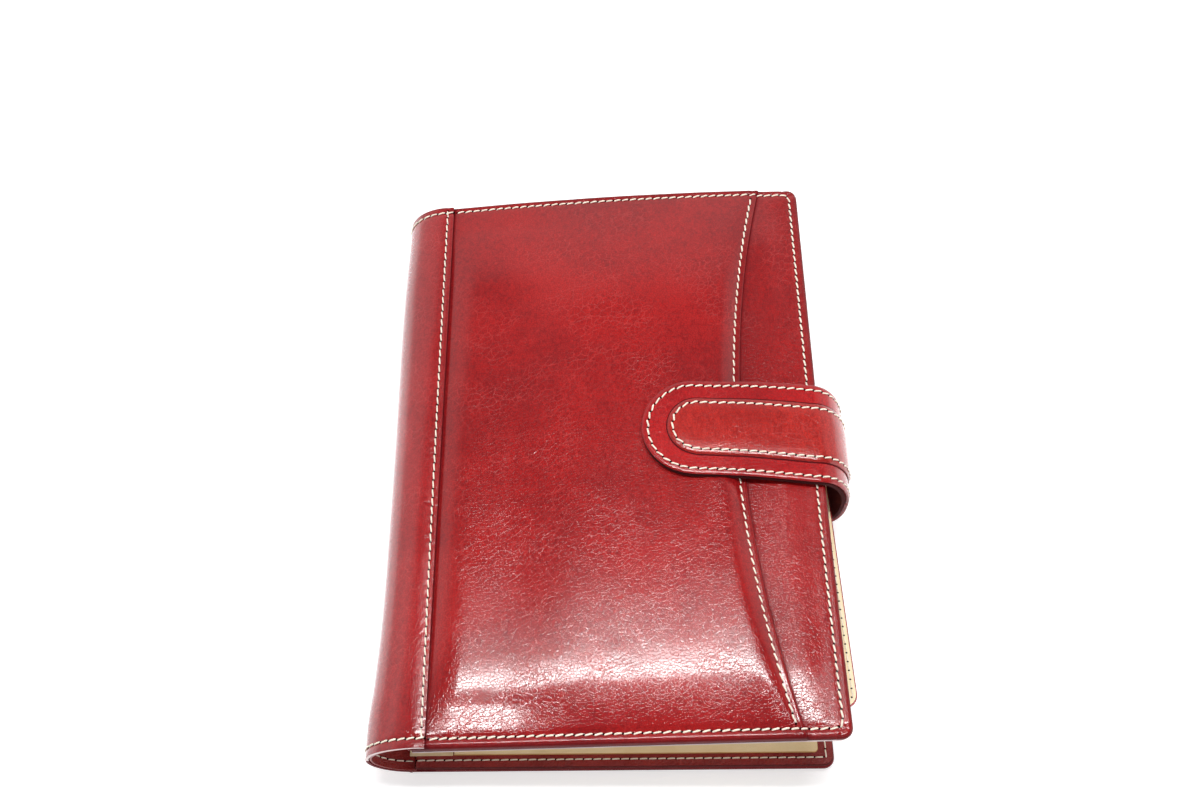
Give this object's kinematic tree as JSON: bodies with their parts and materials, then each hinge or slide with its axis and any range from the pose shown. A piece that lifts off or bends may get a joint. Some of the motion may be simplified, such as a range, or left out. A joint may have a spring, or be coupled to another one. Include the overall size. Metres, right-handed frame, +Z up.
{
  "type": "leather ring diary",
  "caption": "Padded leather diary with a rounded spine, ring mechanism, turning leaves and a magnetic strap round the fore edge.",
  "frame": {"origin": "on the outer face of the back cover, under the middle of its width and height", "axes": "+X from the spine to the fore edge, +Y from the foot to the head, +Z up from the table"},
  "size_m": [0.1763, 0.23, 0.0454],
  "materials": {
    "red_leather": "glossy marbled calf",
    "maroon_leather": "satin",
    "cream_leather": "matt",
    "grey_board": "matt board",
    "grey_foam": "matt foam",
    "magnet_sheet": "matt",
    "paper": "matt paper",
    "nickel": "bright nickel",
    "steel": "brushed"
  },
  "bodies": {
    "back": {"back_panel": "red_leather", "back_board": "grey_board", "back_lining": "maroon_leather", "back_pocket": "cream_leather", "ring_rail": "nickel", "rail_rivet_foot": "nickel", "rail_rivet_head": "nickel", "rear_pages": "paper"},
    "spine": {"spine_panel": "red_leather", "spine_lining": "maroon_leather"},
    "front": {"front_lining": "maroon_leather", "front_board": "grey_board", "front_pocket": "cream_leather", "foam_pad": "grey_foam", "keeper_plate": "steel", "fore_edge_panel": "red_leather", "centre_panel": "red_leather"},
    "front_leaves": {"front_pages": "paper", "leaf_backing": "red_leather", "leaf_face": "cream_leather"},
    "left_rings": {"ring_half_left": "nickel"},
    "right_rings": {"ring_half_right": "nickel"},
    "strap_loop": {"strap_band": "red_leather", "strap_backing": "maroon_leather"},
    "strap_end": {"strap_inlay": "red_leather", "strap_magnet": "magnet_sheet"}
  },
  "joints": [
    {"name": "spine_fold", "type": "hinge", "parent": "back", "child": "spine", "pos_m": [-0.079, 0, 0.0045], "axis": [0, -1, 0], "range_deg": [0, 87], "deforming": ["spine_panel", "spine_lining"]},
    {"name": "cover_fold", "type": "hinge", "parent": "spine", "child": "front", "pos_m": [-0.079, 0, 0.0275], "axis": [0, -1, 0], "range_deg": [0, 87]},
    {"name": "leaf_turn", "type": "hinge", "parent": "back", "child": "front_leaves", "pos_m": [-0.062, 0, 0.0143], "axis": [0, -1, 0], "range_deg": [0, 174]},
    {"name": "ring_left", "type": "hinge", "parent": "back", "child": "left_rings", "pos_m": [-0.0676, 0, 0.00534], "axis": [0, -1, 0], "range_deg": [0, 6]},
    {"name": "ring_right", "type": "hinge", "parent": "back", "child": "right_rings", "pos_m": [-0.0564, 0, 0.00534], "axis": [0, 1, 0], "range_deg": [0, 6]},
    {"name": "strap_root", "type": "hinge", "parent": "back", "child": "strap_loop", "pos_m": [0.09, 0, 0.00879], "axis": [0, 1, 0], "range_deg": [0, 90], "deforming": ["strap_band", "strap_backing"]},
    {"name": "strap_tip", "type": "hinge", "parent": "strap_loop", "child": "strap_end", "pos_m": [0.09, 0, 0.03871], "axis": [0, 1, 0], "range_deg": [0, 90], "deforming": ["strap_inlay", "strap_magnet"]}
  ],
  "couplings": [
    {"joint": "cover_fold", "follows": "spine_fold", "ratio": 1},
    {"joint": "leaf_turn", "follows": "spine_fold", "ratio": 2},
    {"joint": "ring_right", "follows": "ring_left", "ratio": 1},
    {"joint": "strap_tip", "follows": "strap_root", "ratio": 1}
  ]
}
